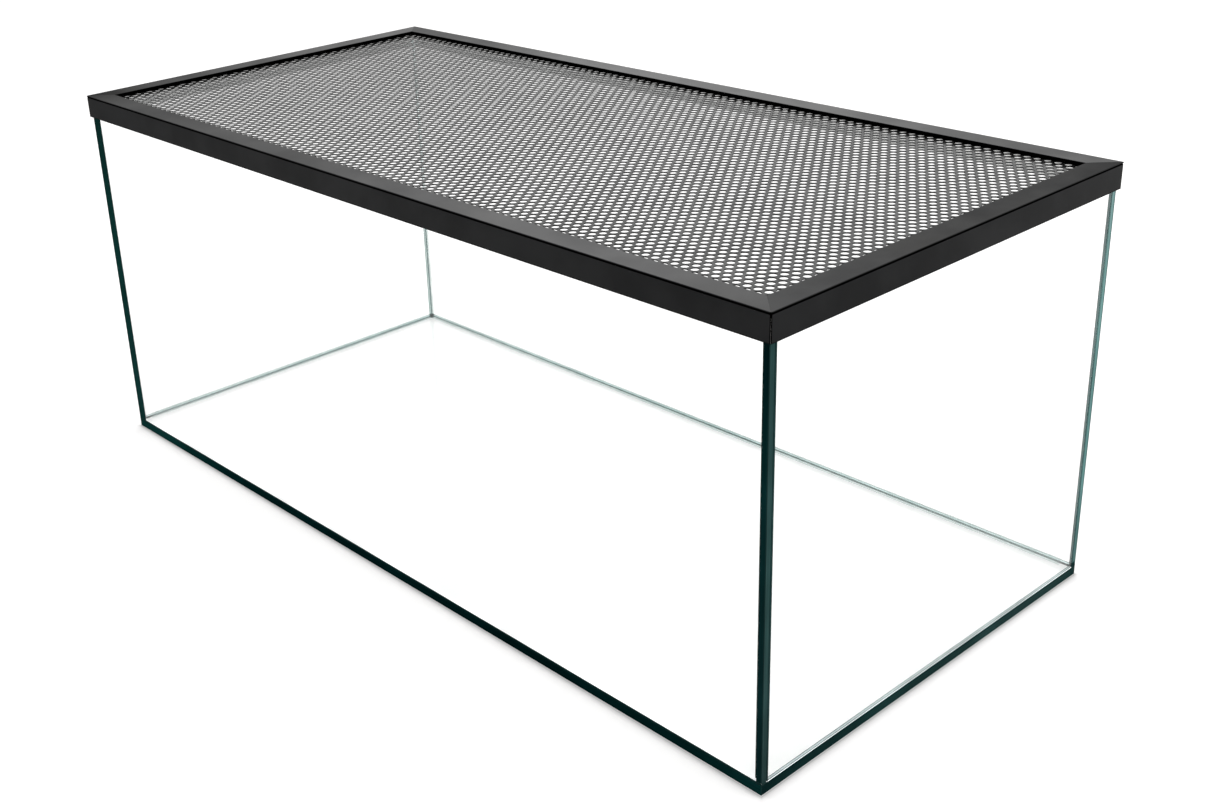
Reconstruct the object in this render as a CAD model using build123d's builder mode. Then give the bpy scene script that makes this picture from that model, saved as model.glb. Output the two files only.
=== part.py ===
from build123d import *

import os

# Glass rodent terrarium with a lift-off lid of perforated sheet. Sizes are in millimetres.
# X runs along the tank, Y across it and Z up. The origin is under the middle of the base pane,
# on the surface that the tank stands on.

# Outside size, over the lid
length = 800.0
width = 380.0
height = 333.0

# Panes, with their ground edges
glass_thickness = 5.0
base_thickness = 8.0
arris = 0.4

# Silicone between the panes, with its smoothed bead along each inside corner
bond = 1.0
bead = 4.0
bead_hollow = 0.35
bead_stop = 2.0

# Lid rails, one mitred extrusion each: a skirt outside the glass, a top flange over its rim and
# a chamber inside it, with the groove for the sheet above the chamber
skirt_height = 19.5
skirt_wall = 1.5
flange = 1.5
side_play = 0.7
rim_gap = 2.3
chamber_width = 9.0
chamber_wall = 1.0
cavity_height = 3.2
groove_web = 1.5
top_round = 0.4
shadow_line_top = 0.8
shadow_line = 1.0
corner_notch = 0.6
mitre_gap = 0.06

# Perforated sheet, caught in the grooves. The real sheet has round holes in rows, with every other
# row shifted by half a pitch. This solid has that pattern drawn coarser by one ratio, so that it is
# as open as the real sheet with far fewer holes.
sheet_thickness = 0.7
sheet_recess = 3.5
sheet_play = 0.1
sheet_end_play = 0.5
hole_diameter = 5.7
hole_pitch = 8.2
row_pitch = 5.8
coarse_ratio = 7.6
hole_margin = 8.0

# Soft strips that the lid rests on
strip_thickness = 2.0
strip_overhang = 0.5
strip_round = 0.5

# Corner keys in the chambers, and the screws that hold them
key_leg = 34.0
key_play = 0.1
screw_from_end = 12.0
screw_diameter = 2.9
screw_bite = 2.3
screw_head_diameter = 5.6
screw_head_height = 1.8
screw_head_round = 0.8
screw_wall_play = 0.2
screw_fit = 0.04
screw_tip_play = 0.3
cross_length = 2.8
cross_width = 0.7
cross_depth = 0.8

# Tank, worked out from the sizes above
overlap_inset = skirt_wall + side_play
tank_length = length - 2 * overlap_inset
tank_width = width - 2 * overlap_inset
wall_bottom = base_thickness + bond
rim = height - flange - strip_thickness
wall_height = rim - wall_bottom
seam_reach = bond + bead

# Lid, measured inwards from the outside of the skirt and down from the top
chamber_start = overlap_inset + glass_thickness + rim_gap
rail_width = chamber_start + chamber_width
groove_depth = chamber_width - groove_web
groove_top = sheet_recess - sheet_play
groove_gap = sheet_thickness + 2 * sheet_play
chamber_top = groove_top + groove_gap
chamber_drop = chamber_top + cavity_height + 2 * chamber_wall
cavity_width = chamber_width - 2 * chamber_wall
cavity_middle = chamber_start + chamber_width / 2
chamber_floor = height - chamber_drop
line_middle = shadow_line_top + shadow_line / 2

# Keys and screws
key_inset = chamber_start + chamber_wall + key_play
key_width = cavity_width - 2 * key_play
key_height = cavity_height - 2 * key_play
key_bottom = chamber_floor + chamber_wall + key_play
screw_setback = key_inset + key_leg - screw_from_end
screw_length = chamber_wall + key_play + screw_bite

# Outward direction of each side and corner in plan
SIDES = {"front": (0, -1), "back": (0, 1), "left": (-1, 0), "right": (1, 0)}
CORNERS = {
    "front_left": (-1, -1),
    "front_right": (1, -1),
    "back_left": (-1, 1),
    "back_right": (1, 1),
}


def side_plane(side, over_length, over_width, level):
    """Plane across a side at its middle: x points inwards, y up and z along the side."""
    out_x, out_y = SIDES[side]
    return Plane(
        origin=(out_x * over_length / 2, out_y * over_width / 2, level),
        x_dir=(-out_x, -out_y, 0),
        z_dir=(-out_y, out_x, 0),
    )


def run_along(side, over_length, over_width):
    """How far a side runs: the length at the front and back, the width at the two ends."""
    return over_length if SIDES[side][0] == 0 else over_width


def corner_point(corner, over_length, over_width, inset_x, inset_y):
    """Place in plan that lies the two insets in from the outside faces of a corner."""
    out_x, out_y = CORNERS[corner]
    return out_x * (over_length / 2 - inset_x), out_y * (over_width / 2 - inset_y)


def finish(piece, name):
    """Name a finished piece and write its file."""
    piece.part.label = name
    export_step(piece.part, f"parts/{name}.step")


os.makedirs("parts", exist_ok=True)

# Base pane, under all four walls
with BuildPart() as base_glass:
    with BuildSketch():
        Rectangle(tank_length, tank_width)
    extrude(amount=base_thickness)
    chamfer(base_glass.edges(), length=arris)
finish(base_glass, "base_glass")

# Wall panes: the front and back run the whole length, the ends stand between them
end_wall_run = tank_width - 2 * (glass_thickness + bond)
for side in SIDES:
    with BuildPart() as wall_glass:
        with BuildSketch(side_plane(side, tank_length, tank_width, wall_bottom)):
            Rectangle(glass_thickness, wall_height, align=(Align.MIN, Align.MIN))
        extrude(amount=run_along(side, tank_length, end_wall_run) / 2, both=True)
        chamfer(wall_glass.edges(), length=arris)
    finish(wall_glass, f"{side}_glass")

# Section of the bead in an inside corner: x from the outside of the wall pane, y from the foot
# of the seam up past the film between the panes
with BuildSketch() as bead_section:
    with BuildLine():
        heel = (glass_thickness, 0)
        foot = (glass_thickness + bead, 0)
        middle = (glass_thickness + bead * bead_hollow, bond + bead * bead_hollow)
        head = (glass_thickness, seam_reach)
        Line(heel, foot)
        ThreePointArc(foot, middle, head)
        Line(head, heel)
    make_face()

# Silicone under each wall, with its bead as far as the pieces in the corners
inside_length = tank_length - 2 * glass_thickness
inside_width = tank_width - 2 * glass_thickness
for side in SIDES:
    seam_plane = side_plane(side, tank_length, tank_width, base_thickness)
    with BuildPart() as floor_seam:
        with BuildSketch(seam_plane):
            Rectangle(glass_thickness, bond, align=(Align.MIN, Align.MIN))
        extrude(amount=run_along(side, tank_length, inside_width) / 2, both=True)
        with BuildSketch(seam_plane):
            add(bead_section.sketch_local)
        half_inside = run_along(side, inside_length, inside_width) / 2
        extrude(amount=half_inside - seam_reach, both=True)
    finish(floor_seam, f"floor_seam_{side}")

# Silicone up each corner, which also closes the ends of the two floor beads
for corner, (out_x, out_y) in CORNERS.items():
    _, film_y = corner_point(corner, tank_length, tank_width, 0, glass_thickness)
    turn = out_x * out_y
    upright = Plane(
        origin=(out_x * tank_length / 2, film_y, base_thickness),
        x_dir=(-out_x, 0, 0),
        z_dir=(0, 0, turn),
    )
    with BuildPart() as corner_seam:
        with BuildSketch(upright.offset(turn * bond)):
            Rectangle(glass_thickness, bond, align=(Align.MIN, Align.MIN))
        extrude(amount=turn * wall_height)
        with BuildSketch(upright):
            add(bead_section.sketch_local)
        extrude(amount=turn * (chamber_floor - bead_stop - base_thickness))
        for side in corner.split("_"):
            seam_plane = side_plane(side, tank_length, tank_width, base_thickness)
            towards = seam_plane.z_dir.X * out_x + seam_plane.z_dir.Y * out_y
            half_inside = run_along(side, inside_length, inside_width) / 2
            with BuildSketch(seam_plane.offset(towards * half_inside)):
                add(bead_section.sketch_local)
            extrude(amount=-towards * seam_reach)
    finish(corner_seam, f"corner_seam_{corner}")

# Lid rails
for side in SIDES:
    rail_plane = side_plane(side, length, width, height)
    half_run = run_along(side, length, width) / 2
    with BuildPart() as rail:
        with BuildSketch(rail_plane) as profile:
            Rectangle(skirt_wall, skirt_height, align=(Align.MIN, Align.MAX))
            Rectangle(rail_width, flange, align=(Align.MIN, Align.MAX))
            with Locations((rail_width, 0)):
                Rectangle(chamber_width, chamber_drop, align=(Align.MAX, Align.MAX))
            with Locations((rail_width, -groove_top)):
                Rectangle(
                    groove_depth, groove_gap, align=(Align.MAX, Align.MAX), mode=Mode.SUBTRACT
                )
            with Locations((rail_width - chamber_wall, -chamber_top - chamber_wall)):
                Rectangle(
                    cavity_width, cavity_height, align=(Align.MAX, Align.MAX), mode=Mode.SUBTRACT
                )
            fillet(profile.vertices().group_by(Axis.Y)[-1], radius=top_round)
            # Fine shadow line along the skirt, a V as deep as half its height
            with Locations((0, -line_middle)):
                Rectangle(
                    shadow_line / 2**0.5,
                    shadow_line / 2**0.5,
                    rotation=45,
                    mode=Mode.SUBTRACT,
                )
        extrude(amount=half_run, both=True)
        for end in (-1, 1):
            # Mitred end, open by a hair
            tip = rail_plane.from_local_coords((0, 0, end * (half_run - mitre_gap)))
            slope = rail_plane.from_local_coords((1, 0, end)) - rail_plane.origin
            split(bisect_by=Plane(origin=tip, z_dir=slope), keep=Keep.BOTTOM)
            # Notch down the outside corner of the skirt, from the shadow line
            with Locations(rail_plane.from_local_coords((0, -line_middle, end * half_run))):
                Box(
                    2 * corner_notch,
                    2 * corner_notch,
                    skirt_height,
                    align=(Align.CENTER, Align.CENTER, Align.MAX),
                    mode=Mode.SUBTRACT,
                )
            # Screw hole through the floor of the chamber
            screw_along = end * (half_run - screw_setback)
            with Locations(
                rail_plane.from_local_coords((cavity_middle, -chamber_drop, screw_along))
            ):
                Cylinder(
                    radius=screw_diameter / 2 + screw_wall_play,
                    height=2 * chamber_wall,
                    mode=Mode.SUBTRACT,
                )
    finish(rail, f"lid_rail_{side}")

# Perforated sheet, one holed face
sheet_inset = rail_width - groove_depth + sheet_end_play
drawn_diameter = hole_diameter * coarse_ratio
drawn_pitch = hole_pitch * coarse_ratio
drawn_row_pitch = row_pitch * coarse_ratio
drilled_length = length - 2 * (rail_width + hole_margin) - drawn_diameter
drilled_width = width - 2 * (rail_width + hole_margin) - drawn_diameter
full_row_count = int(drilled_length // drawn_pitch) + 1
row_count = int(drilled_width // drawn_row_pitch) + 1
hole_places = []
for row in range(row_count):
    place_count = full_row_count - row % 2
    for place in range(place_count):
        hole_x = (place - (place_count - 1) / 2) * drawn_pitch
        hole_y = (row - (row_count - 1) / 2) * drawn_row_pitch
        hole_places.append((hole_x, hole_y))
with BuildPart() as perforated_sheet:
    with BuildSketch(Plane.XY.offset(height - sheet_recess)):
        Rectangle(length - 2 * sheet_inset, width - 2 * sheet_inset)
        with Locations(*hole_places):
            Circle(drawn_diameter / 2, mode=Mode.SUBTRACT)
    extrude(amount=-sheet_thickness)
finish(perforated_sheet, "perforated_sheet")

# Soft strips under the flange, over the rim of each wall
strip_start = overlap_inset - strip_overhang
strip_width = glass_thickness + 2 * strip_overhang
strip_length = length - 2 * strip_start
end_strip_length = width - 2 * (strip_start + strip_width)
for side in SIDES:
    with BuildPart() as rest_strip:
        with BuildSketch(side_plane(side, length, width, height - flange)) as strip_section:
            with Locations((strip_start, 0)):
                Rectangle(strip_width, strip_thickness, align=(Align.MIN, Align.MAX))
            fillet(strip_section.vertices().group_by(Axis.Y)[0], radius=strip_round)
        extrude(amount=run_along(side, strip_length, end_strip_length) / 2, both=True)
    finish(rest_strip, f"rest_strip_{side}")

# Corner keys, one in the joined chambers of each pair of rails, and the places of their screws
screw_places = []
for corner, (out_x, out_y) in CORNERS.items():
    align_x = Align.MAX if out_x > 0 else Align.MIN
    align_y = Align.MAX if out_y > 0 else Align.MIN
    key_screws = [
        corner_point(corner, length, width, screw_setback, cavity_middle),
        corner_point(corner, length, width, cavity_middle, screw_setback),
    ]
    screw_places += key_screws
    with BuildPart() as corner_key:
        with BuildSketch(Plane.XY.offset(key_bottom)):
            with Locations(corner_point(corner, length, width, key_inset, key_inset)):
                Rectangle(key_leg, key_width, align=(align_x, align_y))
                Rectangle(key_width, key_leg, align=(align_x, align_y))
        extrude(amount=key_height)
        with BuildSketch(Plane.XY.offset(key_bottom)):
            with Locations(*key_screws):
                Circle(screw_diameter / 2 + screw_fit)
        extrude(amount=screw_bite + screw_tip_play, mode=Mode.SUBTRACT)
    finish(corner_key, f"corner_key_{corner}")

# Screws from below, one into each leg of each key
head_bottom = chamber_floor - screw_head_height
with BuildPart() as corner_screws:
    with BuildSketch(Plane.XY.offset(head_bottom)):
        with Locations(*screw_places):
            Circle(screw_head_diameter / 2)
    extrude(amount=screw_head_height)
    head_rims = corner_screws.edges().filter_by(GeomType.CIRCLE).group_by(Axis.Z)[0]
    fillet(head_rims, radius=screw_head_round)
    with BuildSketch(Plane.XY.offset(chamber_floor)):
        with Locations(*screw_places):
            Circle(screw_diameter / 2)
    extrude(amount=screw_length)
    with BuildSketch(Plane.XY.offset(head_bottom)):
        with Locations(*screw_places):
            Rectangle(cross_length, cross_width)
            Rectangle(cross_width, cross_length)
    extrude(amount=cross_depth, mode=Mode.SUBTRACT)
finish(corner_screws, "corner_screws")
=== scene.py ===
"""Rodent terrarium: a bonded glass tank under a black framed lid of perforated sheet."""

import logging
import math
from collections.abc import Callable, Iterator
from contextlib import contextmanager
from dataclasses import dataclass, field
from enum import Enum
from functools import reduce

import bpy
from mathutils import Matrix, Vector


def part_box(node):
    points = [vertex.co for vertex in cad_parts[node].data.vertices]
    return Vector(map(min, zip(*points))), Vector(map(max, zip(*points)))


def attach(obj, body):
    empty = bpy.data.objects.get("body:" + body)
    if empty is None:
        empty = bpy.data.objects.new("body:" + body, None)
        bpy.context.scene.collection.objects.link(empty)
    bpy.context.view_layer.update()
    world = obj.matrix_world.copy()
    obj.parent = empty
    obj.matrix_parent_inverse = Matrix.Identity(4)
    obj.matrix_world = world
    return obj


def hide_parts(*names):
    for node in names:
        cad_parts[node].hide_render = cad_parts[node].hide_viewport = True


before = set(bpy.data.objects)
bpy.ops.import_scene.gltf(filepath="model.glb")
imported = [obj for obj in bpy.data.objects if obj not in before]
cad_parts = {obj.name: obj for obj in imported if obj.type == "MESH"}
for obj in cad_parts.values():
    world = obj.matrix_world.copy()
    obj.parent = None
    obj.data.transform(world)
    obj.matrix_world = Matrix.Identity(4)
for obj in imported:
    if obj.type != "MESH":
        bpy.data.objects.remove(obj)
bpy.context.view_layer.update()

MM = 0.001
LOG = logging.getLogger("terrarium")

Socket = bpy.types.NodeSocket
Material = bpy.types.Material
Piece = bpy.types.Object
Span = tuple[float, float]
Colour = tuple[float, float, float, float]
Stops = tuple[tuple[float, Colour], ...]

# How far the panes' edges and the rails reach along each axis of the object, in metres
GLASS_REACH: tuple[Span, ...] = ((-0.3978, 0.3978), (-0.1878, 0.1878), (0.0, 0.33))
RAIL_REACH: tuple[Span, ...] = ((-0.4, 0.4), (-0.19, 0.19))


class Body(Enum):
    """The two bodies that pieces ride on."""

    TANK = "tank"
    LID = "lid"


class Slot(Enum):
    """Material slots of the record."""

    GLASS = "clear_glass"
    SILICONE = "silicone"
    SHEET = "sheet_metal"


class Edge(Enum):
    """The narrow faces of a pane or bond, by the way they point."""

    FRONT = "front"
    BACK = "back"
    LEFT = "left"
    RIGHT = "right"
    RIM = "rim"
    FOOT = "foot"

    @classmethod
    def of(cls, normal: Vector) -> "Edge":
        """Find the edge that a normal belongs to.

        Args:
            normal: a face's normal.

        Returns:
            The edge that points the same way.
        """
        axis = max(range(3), key=lambda i: abs(normal[i]))
        pairs = ((cls.LEFT, cls.RIGHT), (cls.FRONT, cls.BACK), (cls.FOOT, cls.RIM))
        return pairs[axis][normal[axis] > 0]


def grey(value: float) -> Colour:
    """Return an opaque grey."""
    return value, value, value, 1.0


def greys(*pairs: tuple[float, float]) -> Stops:
    """Return stops of grey from pairs of place and value."""
    return tuple((place, grey(value)) for place, value in pairs)


def tints(*stops: tuple[float, float, float, float]) -> Stops:
    """Return stops from rows of place, red, green and blue."""
    return tuple((place, (*parts, 1.0)) for place, *parts in stops)


def plain(*parts: float) -> Stops:
    """Return stops with one colour all along."""
    return tints((0.0, *parts), (1.0, *parts))


def scaled(colour: Colour, factor: float) -> Colour:
    """Return a colour made lighter or darker."""
    return tuple(part * factor for part in colour[:3]) + (1.0,)


@dataclass
class NodeTable:
    """The nodes of one material, group or world, with short calls to add and join them."""

    tree: bpy.types.NodeTree

    def add(self, kind: str, inputs: dict[str | int, object] | None = None, **settings: object) -> bpy.types.Node:
        """Add a node.

        Args:
            kind: the node's type.
            inputs: what goes into it, by the input's name or number.
            settings: its options.

        Returns:
            The node.
        """
        node = self.tree.nodes.new(kind)
        for name, value in settings.items():
            setattr(node, name, value)
        for key, value in (inputs or {}).items():
            self.feed(node.inputs[key], value)
        return node

    def feed(self, socket: Socket, value: object) -> None:
        """Join an input to an output, or set it to a constant.

        Args:
            socket: the input.
            value: an output socket, a number, a vector or a colour.
        """
        if isinstance(value, Socket):
            self.tree.links.new(value, socket)
        else:
            socket.default_value = value

    def math(self, operation: str, *values: object, clamp: bool = False) -> Socket:
        """Join values through a Math node and return its result."""
        return self.add("ShaderNodeMath", dict(enumerate(values)), operation=operation, use_clamp=clamp).outputs[0]

    def times(self, *factors: object, clamp: bool = False) -> Socket:
        """Multiply values, one after the other, and return the product."""
        return reduce(lambda product, factor: self.math("MULTIPLY", product, factor, clamp=clamp), factors)

    def span(self, value: object, low: float, high: float, to_low: object = 0.0, to_high: object = 1.0) -> Socket:
        """Map a value smoothly from low and high to two other values, and hold it beyond them."""
        inputs = dict(enumerate((value, low, high, to_low, to_high)))
        return self.add("ShaderNodeMapRange", inputs, interpolation_type="SMOOTHSTEP").outputs[0]

    def spread(self, mask: object, low: float, high: float) -> Socket:
        """Map a mask from 0 and 1 to two other values."""
        return self.span(mask, 0.0, 1.0, low, high)

    def line(self, value: object, low: float, high: float) -> Socket:
        """Map a value evenly from a range to 0 and 1."""
        return self.add("ShaderNodeMapRange", {0: value, 1: low, 2: high}).outputs[0]

    def window(self, parts: tuple[Socket, ...], spans: tuple[Span, ...]) -> Socket:
        """Return 1 where every part is past the end of its span, and 0 before the start of any."""
        return self.times(*(self.span(part, *ends) for part, ends in zip(parts, spans)))

    def blend(self, share: object, first: object, second: object) -> Socket:
        """Mix two colours and return the result."""
        return self.add("ShaderNodeMix", {0: share, 6: first, 7: second}, data_type="RGBA").outputs[2]

    def ramp(self, value: object, stops: Stops) -> Socket:
        """Turn a value into a colour that changes from stop to stop.

        Args:
            value: the socket that runs along the stops.
            stops: places from 0 to 1, each with its colour.

        Returns:
            The colour.
        """
        node = self.add("ShaderNodeValToRGB", {0: value})
        marks = node.color_ramp.elements
        while len(marks) < len(stops):
            marks.new(1.0)
        for mark, (place, colour) in zip(marks, stops):
            mark.position, mark.color = place, colour
        return node.outputs[0]

    def scale(self, colour: object, factor: object) -> Socket:
        """Return a colour times a number."""
        return self.add("ShaderNodeVectorMath", {0: colour, "Scale": factor}, operation="SCALE").outputs[0]

    def product(self, first: object, second: object) -> Socket:
        """Return two vectors or colours multiplied part by part."""
        return self.add("ShaderNodeVectorMath", {0: first, 1: second}, operation="MULTIPLY").outputs[0]

    def noise(self, place: object, per_metre: object, detail: object, roughness: float = 0.5) -> Socket:
        """Return a noise texture's value."""
        inputs = {"Vector": place, "Scale": per_metre, "Detail": detail, "Roughness": roughness}
        return self.add("ShaderNodeTexNoise", inputs).outputs[0]

    def on_object(self) -> Socket:
        """Return the place on the object, in metres."""
        return self.add("ShaderNodeTexCoord").outputs["Object"]

    def rise(self) -> Socket:
        """Return how far the surface faces up."""
        return self.axes(self.add("ShaderNodeTexCoord").outputs["Normal"])[2]

    def axes(self, vector: Socket) -> tuple[Socket, ...]:
        """Split a vector into x, y and z."""
        return tuple(self.add("ShaderNodeSeparateXYZ", {0: vector}).outputs)

    def group(self, made: bpy.types.NodeTree, **inputs: object) -> Socket:
        """Place a group with its inputs and return its first output."""
        named = {name.replace("_", " ").capitalize(): value for name, value in inputs.items()}
        return self.add("ShaderNodeGroup", named, node_tree=made).outputs[0]

    def bump(self, height: Socket, strength: float, distance: float) -> Socket:
        """Return a normal raised by a height: its share of the effect, and the metres that 1 stands for."""
        return self.add("ShaderNodeBump", {"Strength": strength, "Distance": distance, "Height": height}).outputs[0]


def new_group(name: str, inputs: dict[str, object]) -> tuple[NodeTable, bpy.types.NodeOutputs, Socket]:
    """Start a shader node group that puts out one mask.

    Args:
        name: the group's name.
        inputs: the start value of each named input, or None for a vector that is always joined.

    Returns:
        The group's table, what comes in, and the input that takes the mask.
    """
    tree = bpy.data.node_groups.new(name, "ShaderNodeTree")
    for label, value in inputs.items():
        kind = "NodeSocketFloat" if isinstance(value, float) else "NodeSocketVector"
        socket = tree.interface.new_socket(name=label, in_out="INPUT", socket_type=kind)
        if value is not None:
            socket.default_value = value
    tree.interface.new_socket(name="Mask", in_out="OUTPUT", socket_type="NodeSocketFloat")
    table = NodeTable(tree)
    return table, table.add("NodeGroupInput").outputs, table.add("NodeGroupOutput").inputs[0]


@dataclass
class Effects:
    """Effects that several finishes share, each one node group."""

    grain: bpy.types.NodeTree = field(init=False)
    streaks: bpy.types.NodeTree = field(init=False)
    dust: bpy.types.NodeTree = field(init=False)
    wear_and_highlight: bpy.types.NodeTree = field(init=False)

    def __post_init__(self) -> None:
        """Build every group once."""
        self.grain = self.build_grain()
        self.streaks = self.build_streaks()
        self.dust = self.build_dust()
        self.wear_and_highlight = self.build_wear_and_highlight()

    @staticmethod
    def build_grain() -> bpy.types.NodeTree:
        """Build fine irregular grain, from 0 to 1.

        Returns:
            The group.
        """
        table, given, mask = new_group("fine_grain", {"Place": None, "Per metre": 900.0, "Detail": 3.0})
        noise = table.noise(given["Place"], given["Per metre"], given["Detail"])
        table.feed(mask, table.span(noise, 0.3, 0.7))
        return table.tree

    @staticmethod
    def build_streaks() -> bpy.types.NodeTree:
        """Build long fine streaks, stretched as an input says.

        Returns:
            The group.
        """
        inputs = {"Place": None, "Stretch": (1.0, 1.0, 1.0), "Per metre": 400.0}
        table, given, mask = new_group("fine_streaks", inputs)
        stretched = table.product(given["Place"], given["Stretch"])
        noise = table.noise(stretched, given["Per metre"], detail=5.0, roughness=0.62)
        table.feed(mask, table.span(noise, 0.32, 0.68))
        return table.tree

    @staticmethod
    def build_dust() -> bpy.types.NodeTree:
        """Build dust that settles in patches on what faces up.

        Returns:
            The group.
        """
        table, given, mask = new_group("settled_dust", {"Place": None, "Amount": 0.3})
        up = table.span(table.rise(), 0.55, 0.95)
        patches = table.span(table.noise(given["Place"], per_metre=14.0, detail=7.0), 0.35, 0.75)
        table.feed(mask, table.times(up, patches, given["Amount"], clamp=True))
        return table.tree

    @staticmethod
    def build_wear_and_highlight() -> bpy.types.NodeTree:
        """Build edges that are bright here and there: rubbed wear, and on the powder coat also a painted highlight.

        Returns:
            The group.
        """
        table, given, mask = new_group("worn_edge_and_highlight", {"Place": None, "Reach": 0.6 * MM, "Amount": 0.5})
        soft = table.add("ShaderNodeBevel", {"Radius": given["Reach"]}, samples=4).outputs[0]
        sharp = table.add("ShaderNodeNewGeometry").outputs["Normal"]
        closeness = table.add("ShaderNodeVectorMath", {0: soft, 1: sharp}, operation="DOT_PRODUCT").outputs["Value"]
        broken = table.span(table.noise(given["Place"], per_metre=160.0, detail=6.0), 0.36, 0.62)
        table.feed(mask, table.times(table.span(closeness, 0.995, 0.8), broken, given["Amount"], clamp=True))
        return table.tree


@dataclass
class Surface(NodeTable):
    """The nodes of a material at work, with its shader and the shared effects at each place of the object."""

    shader: bpy.types.Node
    effects: Effects

    def __post_init__(self) -> None:
        """Read the place on the object."""
        self.place = self.on_object()

    def shade(self, inputs: dict[str, object]) -> None:
        """Feed the shader's inputs by name."""
        for name, value in inputs.items():
            self.feed(self.shader.inputs[name], value)

    def grain(self, per_metre: float, detail: float) -> Socket:
        """Return fine irregular grain."""
        return self.group(self.effects.grain, place=self.place, per_metre=per_metre, detail=detail)

    def streaks(self, stretch: tuple[float, ...], per_metre: float) -> Socket:
        """Return fine streaks, long along the axis with the small stretch."""
        return self.group(self.effects.streaks, place=self.place, stretch=stretch, per_metre=per_metre)

    def settled_dust(self, amount: float) -> Socket:
        """Return dust on what faces up."""
        return self.group(self.effects.dust, place=self.place, amount=amount)

    def worn_edge_and_highlight(self, reach: float, amount: float) -> Socket:
        """Return edges made bright: rubbed wear, and on the powder coat also a painted highlight."""
        return self.group(self.effects.wear_and_highlight, place=self.place, reach=reach, amount=amount)


@dataclass(frozen=True)
class Finish:
    """A surface finish; each kind lays itself on a material of its own."""

    name: str

    def build(self, effects: Effects) -> Material:
        """Make the material of this finish.

        Args:
            effects: the shared effects.

        Returns:
            The finished material.
        """
        material = bpy.data.materials.new(self.name)
        material.use_nodes = True
        self.lay(Surface(material.node_tree, material.node_tree.nodes["Principled BSDF"], effects))
        return material

    def lay(self, table: Surface) -> None:
        """Set the shader of a new material."""
        raise NotImplementedError(self.name)


@dataclass(frozen=True)
class ClearGlass(Finish):
    """The panes' large faces: clear float glass that lets lamp light through."""

    tint: Colour = (0.990, 0.997, 0.995, 1.0)
    film: float = 0.996
    ior: float = 1.5
    gloss_tint: Colour = grey(0.0)
    roughness: float = 0.0

    def lay(self, table: Surface) -> None:
        """Set a glass shader that is a plain window to shadow rays.

        Args:
            table: the material at work.
        """
        film = table.grain(per_metre=9.0, detail=6.0)
        table.shade({
            "Base Color": table.blend(film, self.tint, scaled(self.tint, self.film)), "Metallic": 0.0,
            "Transmission Weight": 1.0, "IOR": self.ior, "Specular Tint": self.gloss_tint, "Roughness": self.roughness,
        })
        clear = table.add("ShaderNodeBsdfTransparent", {"Color": self.tint})
        shadow = table.add("ShaderNodeLightPath").outputs["Is Shadow Ray"]
        passing = table.add("ShaderNodeMixShader", {0: shadow, 1: table.shader.outputs[0], 2: clear.outputs[0]})
        table.feed(table.tree.nodes["Material Output"].inputs["Surface"], passing.outputs[0])


@dataclass(frozen=True)
class EdgeGlass(Finish):
    """A polished pane edge or a bond in it, in painted light and shade: its colour runs along it, may differ seen from
    within, and may glow.
    """

    stops: Stops
    axis: int = 2
    within: Stops | None = None
    outer: Colour | None = None
    outer_band: Span = (0.1860, 0.1864)
    slow: Span = (0.82, 1.18)
    fine: Span = (-0.12, 0.12)
    glow: float = 0.0

    def lay(self, table: Surface) -> None:
        """Set a polished shader with fine lines along the edge.

        Args:
            table: the material at work.
        """
        parts = table.axes(table.place)
        # Painted light and shade: the colour changes along the edge by its stops.
        along = table.line(parts[self.axis], *GLASS_REACH[self.axis])
        colour = table.ramp(along, self.stops)
        # Painted light: a second colour for the face as seen from inside the glass.
        if self.within:
            behind = table.add("ShaderNodeNewGeometry").outputs["Backfacing"]
            colour = table.blend(behind, colour, table.ramp(along, self.within))
        if self.outer:
            colour = table.blend(table.span(parts[1], *self.outer_band), colour, self.outer)
        slow = table.grain(per_metre=11.0, detail=4.0)
        lines = table.streaks(tuple(0.012 if i == self.axis else 1.0 for i in range(3)), per_metre=900.0)
        varied = table.scale(colour, table.math("ADD", table.spread(slow, *self.slow), table.spread(lines, *self.fine)))
        # The glow is painted light: the edge shines though it is no lamp.
        table.shade({
            "Base Color": varied, "Emission Color": varied, "Emission Strength": self.glow,
            "Roughness": table.spread(lines, 0.16, 0.28), "Specular IOR Level": 0.0,
            "Normal": table.bump(lines, 0.15, 0.1 * MM),
        })


@dataclass(frozen=True)
class GroundArris(Finish):
    """The ground corner between a pane's face and its edge: fine and frosted, and glowing by its glow, which is painted
    light.
    """

    colour: Colour = (0.006, 0.026, 0.025, 1.0)
    glow: float = 0.0

    def lay(self, table: Surface) -> None:
        """Set a gritty shader in two shades.

        Args:
            table: the material at work.
        """
        grit = table.grain(per_metre=2600.0, detail=3.0)
        colour = table.blend(table.grain(per_metre=60.0, detail=5.0), self.colour, scaled(self.colour, 0.75))
        table.shade({
            "Base Color": colour, "Emission Color": colour, "Emission Strength": self.glow,
            "Roughness": table.spread(grit, 0.45, 0.65), "Specular IOR Level": 0.05,
            "Normal": table.bump(grit, 0.4, 0.05 * MM),
        })


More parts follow.
